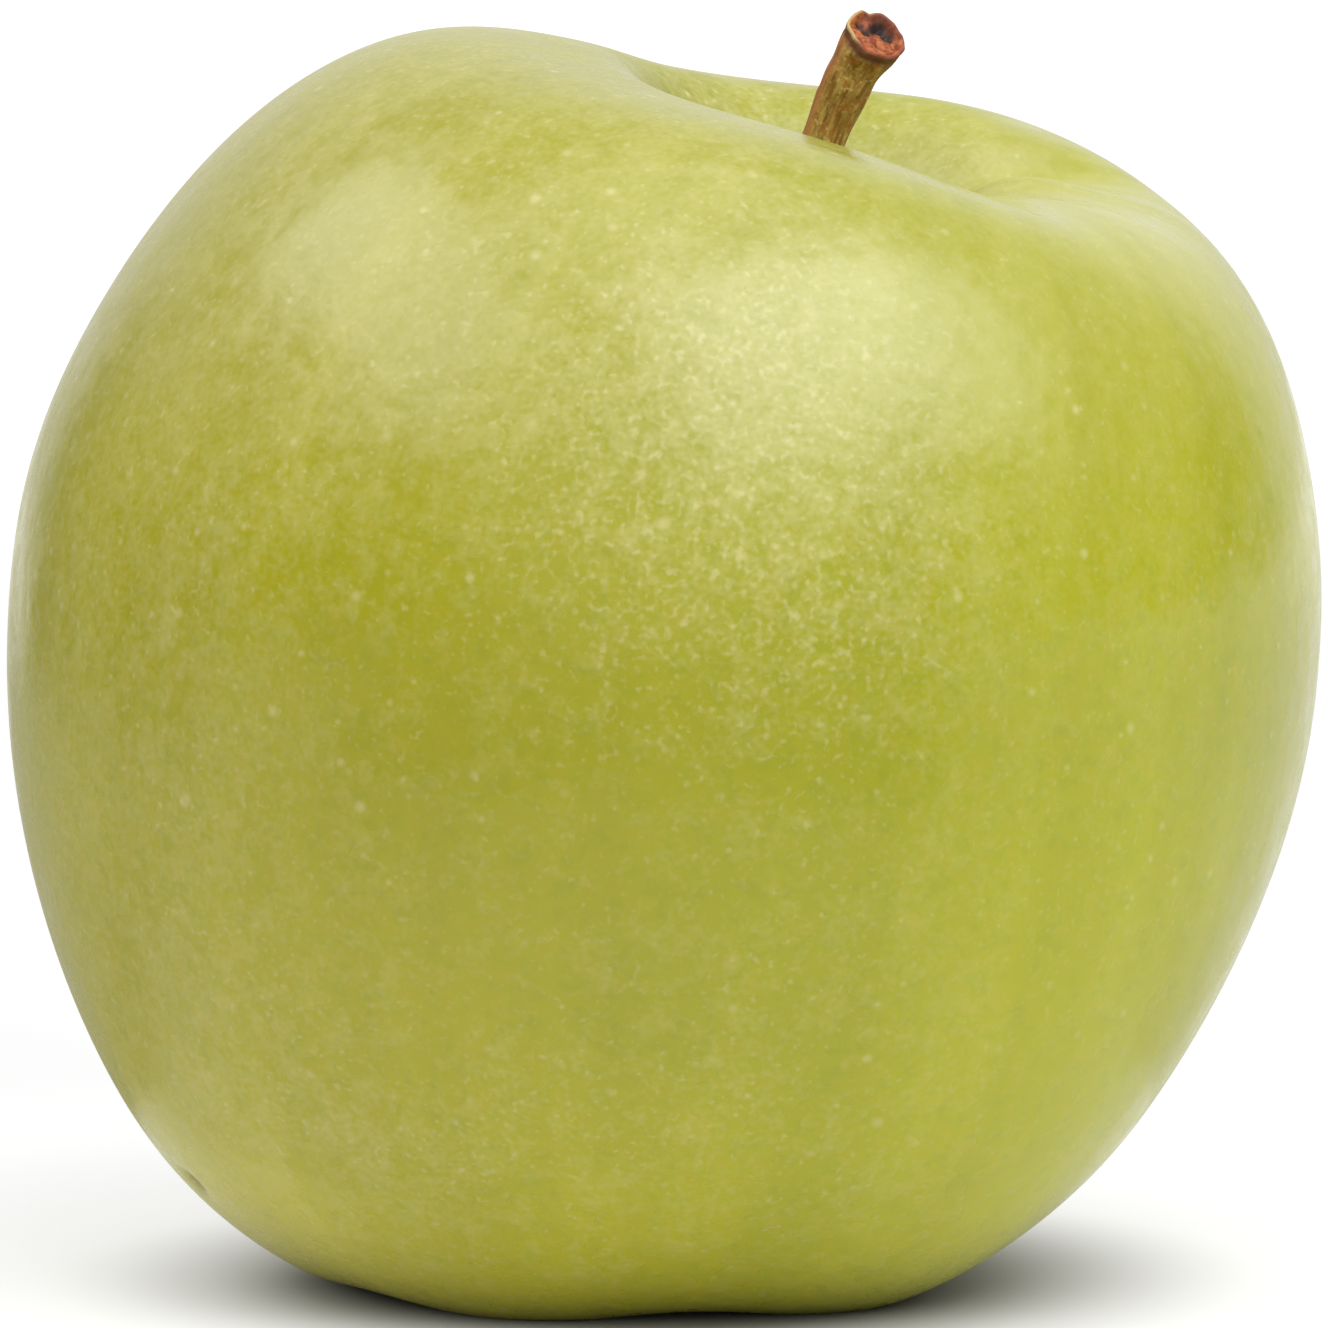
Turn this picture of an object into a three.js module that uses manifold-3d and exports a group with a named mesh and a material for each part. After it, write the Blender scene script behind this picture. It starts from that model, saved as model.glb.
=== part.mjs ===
// A green apple standing on its own base, in millimetres: the fruit with its stem cavity and
// its calyx basin, the woody stem in the cavity, and the dried flower in the basin, which is
// five sepals on a collar round a tuft of stamens.
// +Z is up, and the crown leans toward +X. The origin is on the surface that the apple stands
// on, under the middle of the whole apple, which the lean carries off the middle of its base.
import * as THREE from "three";
import { mergeVertices } from "three/addons/utils/BufferGeometryUtils.js";
import Module from "manifold-3d";

const wasm = await Module();
wasm.setup();

// ---------------------------------------------------------------- driving dimensions

// Half of the fruit's section before it is bent, as [radius, height] control points of a
// cubic B-spline, from the floor of the stem cavity round the outside to the calyx basin.
const HALF_SECTION = [
  [0.0, 59.0], // floor of the stem cavity
  [3.0, 59.0],
  [6.5, 64.5], // wall of the stem cavity
  [10.5, 72.5],
  [17.0, 72.5], // crown
  [25.0, 72.0],
  [33.0, 64.5], // shoulder
  [38.5, 51.5],
  [40.0, 41.5], // cheek, the widest place
  [39.0, 29.5],
  [34.5, 17.0],
  [27.0, 5.5],
  [17.5, -0.8], // base, which the apple stands on
  [13.0, 0.2],
  [8.0, 5.0], // wall of the calyx basin
  [3.5, 8.5],
  [0.0, 8.5], // roof of the calyx basin
];
// Shares of the way along the section, between which its forms fade.
const EQUATOR = 0.5; // where the crown half ends
const CROWN_FULL = 0.25; // the crown's waves are whole up to here
const SHIFT_FULL = 0.22; // the cavity's shift is whole up to here
const LOWER_FULL = 0.72; // the lower waves are whole from here on
const WAVE_RADIUS = 15; // inside this radius the waves fade toward the axis

// The fruit's axis is an arc in the XZ plane, so the crown leans while the base stays level.
const AXIS_LENGTH = 74;
const CROWN_LEAN = degrees(12.4);
const CROWN_SHIFT = 4.4; // the stem cavity lies this far toward +X of the middle
const BASE_OFFSET = -2.4; // X of the middle of the base

// Waves round the fruit: lobes is how many, toward is the azimuth of one crest.
const BODY_WAVE = { lobes: 2, share: 0.01, toward: degrees(42) }; // share of the radius
const LOWER_WAVES = [
  { lobes: 1, share: 0.029, toward: degrees(-99) },
  { lobes: 2, share: 0.028, toward: degrees(-57) },
  { lobes: 3, share: 0.046, toward: degrees(-34) },
];
const CROWN_WAVES = [
  { lobes: 1, height: 1.45, toward: degrees(128) },
  { lobes: 2, height: 0.9, toward: degrees(51) },
  { lobes: 3, height: 0.6, toward: degrees(46) },
];
// One lobe of the crown swells over the edge of the cavity, with a furrow behind it.
const CROWN_FOLDS = [
  { height: 1.0, azimuth: degrees(-24), spread: degrees(17), radius: 18, reach: 8 },
  { height: -1.1, azimuth: degrees(9), spread: degrees(10), radius: 15, reach: 7 },
];
const KNOBS = 5; // round the base, one to each carpel
const KNOB_HEIGHT = 0.8;
const KNOB_TOWARD = degrees(-112);
const KNOB_FOOT = 1; // the knobs are whole up to this height
const KNOB_TOP = 12; // and fade out at this one
const REST_PRESS = 0.3; // how far the knobs are flattened by the apple's weight

const GAP = 0.3; // between neighbouring pieces
const SOCKET_RADIUS = 1.9; // the stem's seat in the floor of the cavity
const SOCKET_DEPTH = 3.0;
const CALYX_TUBE_RADIUS = 2.5; // the flower's seat in the roof of the basin
const CALYX_TUBE_DEPTH = 3.4;
const CAVITY_WALL = 0.25; // shares of the way along the section by which the skin has
const BASIN_WALL = 0.75; // passed the mouths of the socket and of the calyx tube
const HALVINGS = 40; // of the stretch in which a mouth is searched

// The stem's centre line, as the offset from its foot, and its radius there.
const STEM = [
  { at: [0, 0, 0], radius: 1.55 },
  { at: [0.5, 0, 3.0], radius: 1.45 },
  { at: [1.3, -0.2, 8.5], radius: 1.25 },
  { at: [3.0, -0.9, 14.6], radius: 1.3 },
  { at: [4.6, -1.8, 18.4], radius: 1.55 },
  { at: [6.0, -2.7, 20.8], radius: 1.9 },
];
const STEM_SIDES = 16;
const STEM_RINGS = 14;
const STEM_RIBS = { count: 3, share: 0.05 };
const CUT_SLOPE = 0.35; // rise of the cut end per millimetre toward the back
const CUT_START = 0.8; // share of the stem's length from which the rings turn to the cut
const CUT_SINK = 0.4; // the dried pith lies this far below the cut's edge

const SEPALS = 5;
const SEPAL_TOWARD = degrees(-76);
const SEPAL_THICKNESS = 0.6;
const SEPAL_THICK_SHARE = 0.4; // of a sepal's width that has its whole thickness
// A sepal's middle line as [distance from the flower's axis, height], and its width there.
const SEPAL_LINE = [
  { at: [1.85, 10.4], width: 1.9 },
  { at: [1.9, 8.9], width: 2.1 },
  { at: [2.3, 7.3], width: 2.3 },
  { at: [2.3, 5.7], width: 1.9 },
  { at: [2.7, 4.5], width: 1.2 },
  { at: [3.5, 3.9], width: 0.6 },
];
const COLLAR = { inner: 1.45, bottom: 8.6, top: 11.4, sides: 30 };

const STAMENS = 12;
const STAMEN_RADIUS = 0.25;
const STAMEN_LENGTH = 4.2;
const STAMEN_CIRCLE = 0.7; // radius of the circle on which they stand
const STAMEN_SIDES = 5;
const STAMEN_PAD = { radius: 1.1, thickness: 0.7, sides: 20 };
// How unevenly they grow: as shares of the step between two, in millimetres away from the
// axis, and as shares of their length.
const STAMEN_SEED = 7;
const STAMEN_TURN = 0.3;
const STAMEN_SPREAD = { least: 0.1, range: 0.4 };
const STAMEN_REACH = { least: 0.8, range: 0.3 };

const FRUIT_SIDES = 72;
const FRUIT_RINGS = 46;

// ---------------------------------------------------------------- small helpers

function degrees(angle) {
  return THREE.MathUtils.degToRad(angle);
}

// 0 before the start, 1 past the end, and a smooth step between them.
function ease(value, start, end) {
  const share = THREE.MathUtils.clamp((value - start) / (end - start), 0, 1);
  return share * share * (3 - 2 * share);
}

// A bump of height 1 at 0 that has faded to 1/e at distance reach.
function bump(distance, reach) {
  return Math.exp(-((distance / reach) ** 2));
}

// The turn from one azimuth to another, between -PI and PI.
function turn(from, to) {
  return THREE.MathUtils.euclideanModulo(to - from + Math.PI, 2 * Math.PI) - Math.PI;
}

// The same pseudo-random row of numbers between 0 and 1 on every run.
function seededRandom(seed) {
  const multiplier = 16807;
  const modulus = 2 ** 31 - 1;
  let state = seed;
  return () => {
    state = (state * multiplier) % modulus;
    return state / modulus;
  };
}

// A closed skin over rings of points that run counter-clockwise seen from the last ring's
// end, with a fan to a middle point at each end.
function loft(rings, firstMiddle, lastMiddle) {
  const sides = rings[0].length;
  const points = [...rings.flat(), firstMiddle, lastMiddle];
  const first = points.length - 2;
  const last = points.length - 1;
  const triangles = [];
  for (let side = 0; side < sides; side++) {
    const next = (side + 1) % sides;
    triangles.push(first, next, side);
    for (let ring = 0; ring < rings.length - 1; ring++) {
      const lower = ring * sides;
      const upper = lower + sides;
      triangles.push(lower + side, lower + next, upper + next);
      triangles.push(lower + side, upper + next, upper + side);
    }
    const top = (rings.length - 1) * sides;
    triangles.push(last, top + side, top + next);
  }
  const geometry = new THREE.BufferGeometry();
  geometry.setAttribute(
    "position",
    new THREE.Float32BufferAttribute(points.flatMap((point) => point.toArray()), 3),
  );
  geometry.setIndex(triangles);
  return geometry;
}

// One body from closed geometries that overlap.
function fuse(geometries) {
  const solids = geometries.map((geometry) => {
    const bare = geometry.clone();
    bare.deleteAttribute("normal");
    bare.deleteAttribute("uv");
    const merged = mergeVertices(bare);
    return new wasm.Manifold(
      new wasm.Mesh({
        numProp: 3,
        vertProperties: new Float32Array(merged.attributes.position.array),
        triVerts: new Uint32Array(merged.index.array),
      }),
    );
  });
  const mesh = solids.reduce((whole, solid) => whole.add(solid)).getMesh();
  const geometry = new THREE.BufferGeometry();
  geometry.setAttribute("position", new THREE.BufferAttribute(mesh.vertProperties, 3));
  geometry.setIndex(new THREE.BufferAttribute(mesh.triVerts, 1));
  return geometry;
}

function namedMesh(name, geometry, colour, roughness) {
  geometry.computeVertexNormals();
  const material = new THREE.MeshStandardMaterial({ color: colour, roughness, metalness: 0 });
  const mesh = new THREE.Mesh(geometry, material);
  mesh.name = name;
  return mesh;
}

// ---------------------------------------------------------------- the fruit's skin

// The half section at a share of the way along it: a uniform cubic B-spline whose control
// points are mirrored in the axis at both ends, so that the poles are smooth.
function halfSection(along) {
  const spans = HALF_SECTION.length - 1;
  const mirrored = ([radius, height]) => [-radius, height];
  const controls = [
    mirrored(HALF_SECTION[1]),
    ...HALF_SECTION,
    mirrored(HALF_SECTION[spans - 1]),
  ];
  const span = Math.min(Math.floor(along * spans), spans - 1);
  const u = along * spans - span;
  const weights = [
    (1 - u) ** 3 / 6,
    (3 * u ** 3 - 6 * u ** 2 + 4) / 6,
    (-3 * u ** 3 + 3 * u ** 2 + 3 * u + 1) / 6,
    u ** 3 / 6,
  ];
  const blend = (axis) => weights.reduce((sum, w, k) => sum + w * controls[span + k][axis], 0);
  return { radius: blend(0), height: blend(1) };
}

// Bends a point of the straight fruit with its axis, which is level at the base.
function bendWithAxis(point) {
  const bendRadius = AXIS_LENGTH / CROWN_LEAN;
  const angle = point.z / bendRadius;
  const arm = bendRadius - point.x;
  return new THREE.Vector3(bendRadius - arm * Math.cos(angle), point.y, arm * Math.sin(angle));
}

// Where the skin passes at an azimuth, for a radius and height of the half section and a
// share of the way along it.
function shapeSkin(azimuth, along, radius, height) {
  const crown = 1 - ease(along, CROWN_FULL, EQUATOR);
  const lower = ease(along, EQUATOR, LOWER_FULL) * ease(radius, CALYX_TUBE_RADIUS, WAVE_RADIUS);
  const wave = ({ lobes, toward }) => Math.cos(lobes * turn(toward, azimuth));

  let swell = 1 + BODY_WAVE.share * wave(BODY_WAVE);
  for (const lowerWave of LOWER_WAVES) {
    swell += lower * lowerWave.share * wave(lowerWave);
  }
  let lift = 0;
  for (const crownWave of CROWN_WAVES) {
    lift += crown * ease(radius, 0, WAVE_RADIUS) * crownWave.height * wave(crownWave);
  }
  for (const fold of CROWN_FOLDS) {
    const across = bump(turn(fold.azimuth, azimuth), fold.spread);
    lift += crown * fold.height * across * bump(radius - fold.radius, fold.reach);
  }
  const knobs = { lobes: KNOBS, toward: KNOB_TOWARD };
  lift += (1 - ease(height, KNOB_FOOT, KNOB_TOP)) * (KNOB_HEIGHT / 2) * (1 - wave(knobs));

  const straight = new THREE.Vector3(
    radius * swell * Math.cos(azimuth) + CROWN_SHIFT * (1 - ease(along, SHIFT_FULL, EQUATOR)),
    radius * swell * Math.sin(azimuth),
    height + lift,
  );
  const bent = bendWithAxis(straight);
  bent.z = Math.max(bent.z - REST_PRESS, 0);
  return bent;
}

function skinRing(along, radius, height) {
  return Array.from({ length: FRUIT_SIDES }, (_, side) =>
    shapeSkin((2 * Math.PI * side) / FRUIT_SIDES, along, radius, height),
  );
}

// How far along the section the skin first reaches a radius, searched between two shares of
// which the first is nearer the axis.
function alongAtRadius(radius, inner, outer) {
  for (let step = 0; step < HALVINGS; step++) {
    const middle = (inner + outer) / 2;
    if (halfSection(middle).radius < radius) inner = middle;
    else outer = middle;
  }
  return inner;
}

// The fruit, from the bottom of the calyx tube's seat up round the outside to the socket.
function fruitGeometry() {
  const socketMouth = alongAtRadius(SOCKET_RADIUS, 0, CAVITY_WALL);
  const tubeMouth = alongAtRadius(CALYX_TUBE_RADIUS, 1, BASIN_WALL);
  const socketFloor = halfSection(0).height - SOCKET_DEPTH;
  const tubeRoof = halfSection(1).height + CALYX_TUBE_DEPTH;

  const rings = [skinRing(1, CALYX_TUBE_RADIUS, tubeRoof)];
  for (let ring = 0; ring <= FRUIT_RINGS; ring++) {
    const along = THREE.MathUtils.lerp(tubeMouth, socketMouth, ring / FRUIT_RINGS);
    const { radius, height } = halfSection(along);
    rings.push(skinRing(along, radius, height));
  }
  rings.push(skinRing(0, SOCKET_RADIUS, socketFloor));
  return loft(rings, shapeSkin(0, 1, 0, tubeRoof), shapeSkin(0, 0, 0, socketFloor));
}

// ---------------------------------------------------------------- the stem

function stemGeometry() {
  const socketFloor = halfSection(0).height - SOCKET_DEPTH;
  const foot = shapeSkin(0, 0, 0, socketFloor + GAP);
  const path = new THREE.CatmullRomCurve3(
    STEM.map(({ at }) => foot.clone().add(new THREE.Vector3(...at))),
  );
  const rings = [];
  for (let ring = 0; ring <= STEM_RINGS; ring++) {
    const along = ring / STEM_RINGS;
    const centre = path.getPoint(along);
    const tangent = path.getTangent(along);
    const right = new THREE.Vector3().crossVectors(new THREE.Vector3(0, 1, 0), tangent).normalize();
    const back = new THREE.Vector3().crossVectors(tangent, right);
    const station = along * (STEM.length - 1);
    const lower = Math.min(Math.floor(station), STEM.length - 2);
    const radius = THREE.MathUtils.lerp(
      STEM[lower].radius,
      STEM[lower + 1].radius,
      ease(station - lower, 0, 1),
    );
    rings.push(
      Array.from({ length: STEM_SIDES }, (_, side) => {
        const angle = (2 * Math.PI * side) / STEM_SIDES;
        const reach = radius * (1 + STEM_RIBS.share * Math.cos(STEM_RIBS.count * angle));
        const point = centre.clone();
        point.addScaledVector(right, reach * Math.cos(angle));
        point.addScaledVector(back, reach * Math.sin(angle));
        const cut = ease(along, CUT_START, 1) * CUT_SLOPE * reach * Math.sin(angle);
        return point.addScaledVector(tangent, cut);
      }),
    );
  }
  const top = path.getPoint(1).addScaledVector(path.getTangent(1), -CUT_SINK);
  return loft(rings, foot, top);
}

// ---------------------------------------------------------------- the dried flower

// A blade of even thickness along a line in the plane of its azimuth, round the Z axis.
function sepalGeometry(azimuth) {
  const out = new THREE.Vector3(Math.cos(azimuth), Math.sin(azimuth), 0);
  const side = new THREE.Vector3(-Math.sin(azimuth), Math.cos(azimuth), 0);
  const place = (distance, height) => new THREE.Vector3(0, 0, height).addScaledVector(out, distance);
  const line = SEPAL_LINE.map(({ at }) => place(...at));
  const rings = line.map((centre, k) => {
    const ahead = line[Math.min(k + 1, line.length - 1)];
    const behind = line[Math.max(k - 1, 0)];
    const forward = ahead.clone().sub(behind).normalize();
    const face = new THREE.Vector3().crossVectors(forward, side);
    const half = SEPAL_LINE[k].width / 2;
    // Six corners: the blade is thickest along its middle and cupped round the flower.
    const thick = half * SEPAL_THICK_SHARE;
    const corners = [
      [half, 0],
      [thick, SEPAL_THICKNESS / 2],
      [-thick, SEPAL_THICKNESS / 2],
      [-half, 0],
      [-thick, -SEPAL_THICKNESS / 2],
      [thick, -SEPAL_THICKNESS / 2],
    ];
    return corners.map(([across, through]) =>
      centre.clone().addScaledVector(side, across).addScaledVector(face, through),
    );
  });
  return loft(rings, line[0], line[line.length - 1]);
}

function sepalsGeometry() {
  const outer = CALYX_TUBE_RADIUS - GAP;
  const collar = new THREE.LatheGeometry(
    [
      new THREE.Vector2(COLLAR.inner, COLLAR.bottom),
      new THREE.Vector2(outer, COLLAR.bottom),
      new THREE.Vector2(outer, COLLAR.top),
      new THREE.Vector2(COLLAR.inner, COLLAR.top),
      new THREE.Vector2(COLLAR.inner, COLLAR.bottom),
    ],
    COLLAR.sides,
  );
  collar.rotateX(Math.PI / 2);
  const blades = Array.from({ length: SEPALS }, (_, k) =>
    sepalGeometry(SEPAL_TOWARD + (2 * Math.PI * k) / SEPALS),
  );
  return fuse([collar, ...blades]);
}

function stamenGeometry(azimuth, spread, length, top) {
  const out = new THREE.Vector3(Math.cos(azimuth), Math.sin(azimuth), 0);
  const stations = [0, 0.5, 1];
  const rings = stations.map((along) => {
    const centre = new THREE.Vector3(0, 0, top - along * length);
    centre.addScaledVector(out, STAMEN_CIRCLE + spread * along);
    return Array.from({ length: STAMEN_SIDES }, (_, side) => {
      const angle = (-2 * Math.PI * side) / STAMEN_SIDES;
      const offset = new THREE.Vector3(Math.cos(angle), Math.sin(angle), 0);
      return centre.clone().addScaledVector(offset, STAMEN_RADIUS);
    });
  });
  const middle = (ring) =>
    ring.reduce((sum, point) => sum.add(point), new THREE.Vector3()).divideScalar(ring.length);
  return loft(rings, middle(rings[0]), middle(rings[rings.length - 1]));
}

function stamensGeometry() {
  const random = seededRandom(STAMEN_SEED);
  const roof = halfSection(1).height + CALYX_TUBE_DEPTH - REST_PRESS;
  const padTop = roof - GAP;
  const { radius, thickness, sides } = STAMEN_PAD;
  const pad = new THREE.CylinderGeometry(radius, radius, thickness, sides);
  pad.rotateX(Math.PI / 2);
  pad.translate(0, 0, padTop - thickness / 2);
  const filaments = Array.from({ length: STAMENS }, (_, k) => {
    const azimuth = (2 * Math.PI * (k + STAMEN_TURN * random())) / STAMENS;
    const spread = STAMEN_SPREAD.least + STAMEN_SPREAD.range * random();
    const reach = STAMEN_REACH.least + STAMEN_REACH.range * random();
    return stamenGeometry(azimuth, spread, STAMEN_LENGTH * reach, padTop - thickness / 2);
  });
  return fuse([pad, ...filaments]);
}

// ---------------------------------------------------------------- the apple

// The pieces are made round the middle of the base.
const apple = new THREE.Group();
apple.position.x = BASE_OFFSET;
apple.add(namedMesh("fruit", fruitGeometry(), 0xa6a444, 0.42));
apple.add(namedMesh("stem", stemGeometry(), 0x77552a, 0.8));
apple.add(namedMesh("sepals", sepalsGeometry(), 0x6b5a38, 0.9));
apple.add(namedMesh("stamens", stamensGeometry(), 0x4a3620, 0.9));

export default apple;
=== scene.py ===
import math
import random

import bpy
import numpy as np
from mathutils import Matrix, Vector, noise


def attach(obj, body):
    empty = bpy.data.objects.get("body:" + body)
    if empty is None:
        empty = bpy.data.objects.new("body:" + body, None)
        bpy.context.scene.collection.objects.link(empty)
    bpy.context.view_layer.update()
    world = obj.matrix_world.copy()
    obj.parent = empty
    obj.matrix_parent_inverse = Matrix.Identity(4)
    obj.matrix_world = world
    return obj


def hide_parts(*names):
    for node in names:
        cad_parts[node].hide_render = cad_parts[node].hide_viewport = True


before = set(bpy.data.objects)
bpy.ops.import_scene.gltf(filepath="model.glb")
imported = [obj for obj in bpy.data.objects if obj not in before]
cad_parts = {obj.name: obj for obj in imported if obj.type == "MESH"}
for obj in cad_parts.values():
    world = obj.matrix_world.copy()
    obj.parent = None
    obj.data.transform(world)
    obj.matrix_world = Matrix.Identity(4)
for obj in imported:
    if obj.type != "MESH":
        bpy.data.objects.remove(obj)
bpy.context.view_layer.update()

# A green apple. The camera is in front of it, looking along +Y, and the crown leans to +X.
# Sizes are in metres, and MM turns a size in millimetres into one.
MM = 0.001

# ---------------------------------------------------------------- the fruit's form
# The same named sizes as the model's own source, so the skin lies on the model's solid.

HALF_SECTION = [
    (0.0, 59.0),
    (3.0, 59.0),
    (6.5, 64.5),
    (10.5, 72.5),
    (17.0, 72.5),
    (25.0, 72.0),
    (33.0, 64.5),
    (38.5, 51.5),
    (40.0, 41.5),
    (39.0, 29.5),
    (34.5, 17.0),
    (27.0, 5.5),
    (17.5, -0.8),
    (13.0, 0.2),
    (8.0, 5.0),
    (3.5, 8.5),
    (0.0, 8.5),
]
EQUATOR = 0.5
AXIS_LENGTH = 74
CROWN_LEAN = math.radians(12.4)
CROWN_SHIFT = 4.4
BASE_OFFSET = -2.4
BODY_WAVE = (2, 0.01, 42)
LOWER_WAVES = [(1, 0.029, -99), (2, 0.028, -57), (3, 0.046, -34)]
CROWN_WAVES = [(1, 1.45, 128), (2, 0.9, 51), (3, 0.6, 46)]
CROWN_FOLDS = [
    {"height": 1.0, "azimuth": -24, "spread": 17, "radius": 18, "reach": 8},
    {"height": -1.1, "azimuth": 9, "spread": 10, "radius": 15, "reach": 7},
]
# A sharp crease and its crest, finer than the model's own folds.
FINE_FOLDS = [
    {"height": -1.3, "azimuth": 22, "spread": 7, "radius": 14, "reach": 6},
    {"height": 1.1, "azimuth": 7, "spread": 7, "radius": 14, "reach": 7},
]
# Fine puckers round the calyx and furrows round the stem's foot: (lobes, height, toward),
# and the ring that they lie in: (its radius, its width, share of the height).
PUCKERS = [(9, 0.13, 20), (14, 0.10, -50), (23, 0.05, 75)]
CALYX_PUCKERS = (7, 3, 1.0)
STEM_FURROWS = (6, 2.5, 0.6)
KNOBS = 5
KNOB_HEIGHT = 0.8
KNOB_TOWARD = -112
KNOB_TOP = 12
REST_PRESS = 0.3
SOCKET_RADIUS = 1.65
SOCKET_DEPTH = 3.0
CALYX_TUBE_RADIUS = 2.5
CALYX_TUBE_DEPTH = 3.4
GAP = 0.3

SKIN_SIDES = 360
SKIN_RINGS = 258
CHEEK_RADIUS = 40


def ease(value, start, end):
    """0 before start, 1 past end, and a smooth step between them."""
    share = np.clip((value - start) / (end - start), 0, 1)
    return share * share * (3 - 2 * share)


def bump(distance, reach):
    """A bump of height 1 at 0 that has faded to 1/e at distance reach."""
    return np.exp(-((distance / reach) ** 2))


def turn(start, end):
    """The turn from one azimuth to another, between -pi and pi."""
    return (end - start + math.pi) % (2 * math.pi) - math.pi


def rough(x, y, z, seed):
    """Smooth noise between about -1 and 1."""
    return noise.noise(Vector((x, y, z)) + Vector((seed * 17.3, seed * -9.1, seed * 5.7)))


def half_section(along):
    """Radius and height of the half section, a uniform cubic B-spline, in millimetres."""
    controls = [(-HALF_SECTION[1][0], HALF_SECTION[1][1])]
    controls += HALF_SECTION
    controls += [(-HALF_SECTION[-2][0], HALF_SECTION[-2][1])]
    controls = np.array(controls)
    spans = len(HALF_SECTION) - 1
    position = np.asarray(along, float) * spans
    span = np.minimum(position.astype(int), spans - 1)
    u = position - span
    weights = [
        (1 - u) ** 3 / 6,
        (3 * u**3 - 6 * u**2 + 4) / 6,
        (-3 * u**3 + 3 * u**2 + 3 * u + 1) / 6,
        u**3 / 6,
    ]
    point = sum(w[..., None] * controls[span + k] for k, w in enumerate(weights))
    return point[..., 0], point[..., 1]


def shape_skin(azimuth, along, radius, height):
    """Where the skin passes, in millimetres round the middle of the base."""
    crown = 1 - ease(along, 0.25, EQUATOR)
    base = ease(along, 0.80, 0.86)
    lower = ease(along, EQUATOR, 0.72) * ease(radius, CALYX_TUBE_RADIUS, 15)

    def wave(lobes, toward):
        return np.cos(lobes * turn(math.radians(toward), azimuth))

    lobes, share, toward = BODY_WAVE
    swell = 1 + share * wave(lobes, toward)
    for lobes, share, toward in LOWER_WAVES:
        swell = swell + lower * share * wave(lobes, toward)
    lift = 0
    for lobes, rise, toward in CROWN_WAVES:
        lift = lift + crown * ease(radius, 0, 15) * rise * wave(lobes, toward)
    for fold in CROWN_FOLDS + FINE_FOLDS:
        across = bump(turn(math.radians(fold["azimuth"]), azimuth), math.radians(fold["spread"]))
        lift = lift + crown * fold["height"] * across * bump(radius - fold["radius"], fold["reach"])
    basin = 0
    for share, (middle, width, strength) in ((base, CALYX_PUCKERS), (crown, STEM_FURROWS)):
        basin = basin + strength * share * bump(radius - middle, width)
    for lobes, rise, toward in PUCKERS:
        lift = lift + basin * rise * wave(lobes, toward)
    knob = (KNOB_HEIGHT / 2) * (1 - wave(KNOBS, KNOB_TOWARD))
    lift = lift + (1 - ease(height, 1, KNOB_TOP)) * knob

    x = radius * swell * np.cos(azimuth) + CROWN_SHIFT * (1 - ease(along, 0.22, EQUATOR))
    y = radius * swell * np.sin(azimuth)
    z = height + lift
    bend_radius = AXIS_LENGTH / CROWN_LEAN
    angle = z / bend_radius
    arm = bend_radius - x
    bent_z = np.maximum(arm * np.sin(angle) - REST_PRESS, 0)
    return np.stack(np.broadcast_arrays(bend_radius - arm * np.cos(angle), y, bent_z), -1)


HALVINGS = 40


def along_at_radius(radius, inner, outer):
    """How far along the section the skin first reaches a radius."""
    for _ in range(HALVINGS):
        middle = (inner + outer) / 2
        if half_section(middle)[0] < radius:
            inner = middle
        else:
            outer = middle
    return inner


# ---------------------------------------------------------------- mesh helpers


def mesh_object(name, points, faces):
    mesh = bpy.data.meshes.new(name)
    mesh.from_pydata([tuple(point) for point in points], [], faces)
    mesh.polygons.foreach_set("use_smooth", [True] * len(mesh.polygons))
    mesh.update()
    piece = bpy.data.objects.new(name, mesh)
    bpy.context.scene.collection.objects.link(piece)
    return piece


def store(piece, name, values):
    """Keeps a number or a vector for each of a piece's points, for its material to read."""
    values = np.asarray(values, dtype=np.float32)
    kind, field = ("FLOAT", "value") if values.ndim == 1 else ("FLOAT_VECTOR", "vector")
    layer = piece.data.attributes.new(name, kind, "POINT")
    layer.data.foreach_set(field, values.ravel())


def loft_faces(rings, sides):
    """Quads between rings of points, with a fan at each end to two last points."""
    faces = []
    first, last = rings * sides, rings * sides + 1
    for side in range(sides):
        following = (side + 1) % sides
        faces.append((first, following, side))
        for ring in range(rings - 1):
            lower, upper = ring * sides, (ring + 1) * sides
            faces.append((lower + side, lower + following, upper + following, upper + side))
        top = (rings - 1) * sides
        faces.append((last, top + side, top + following))
    return faces


# ---------------------------------------------------------------- the fruit


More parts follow.
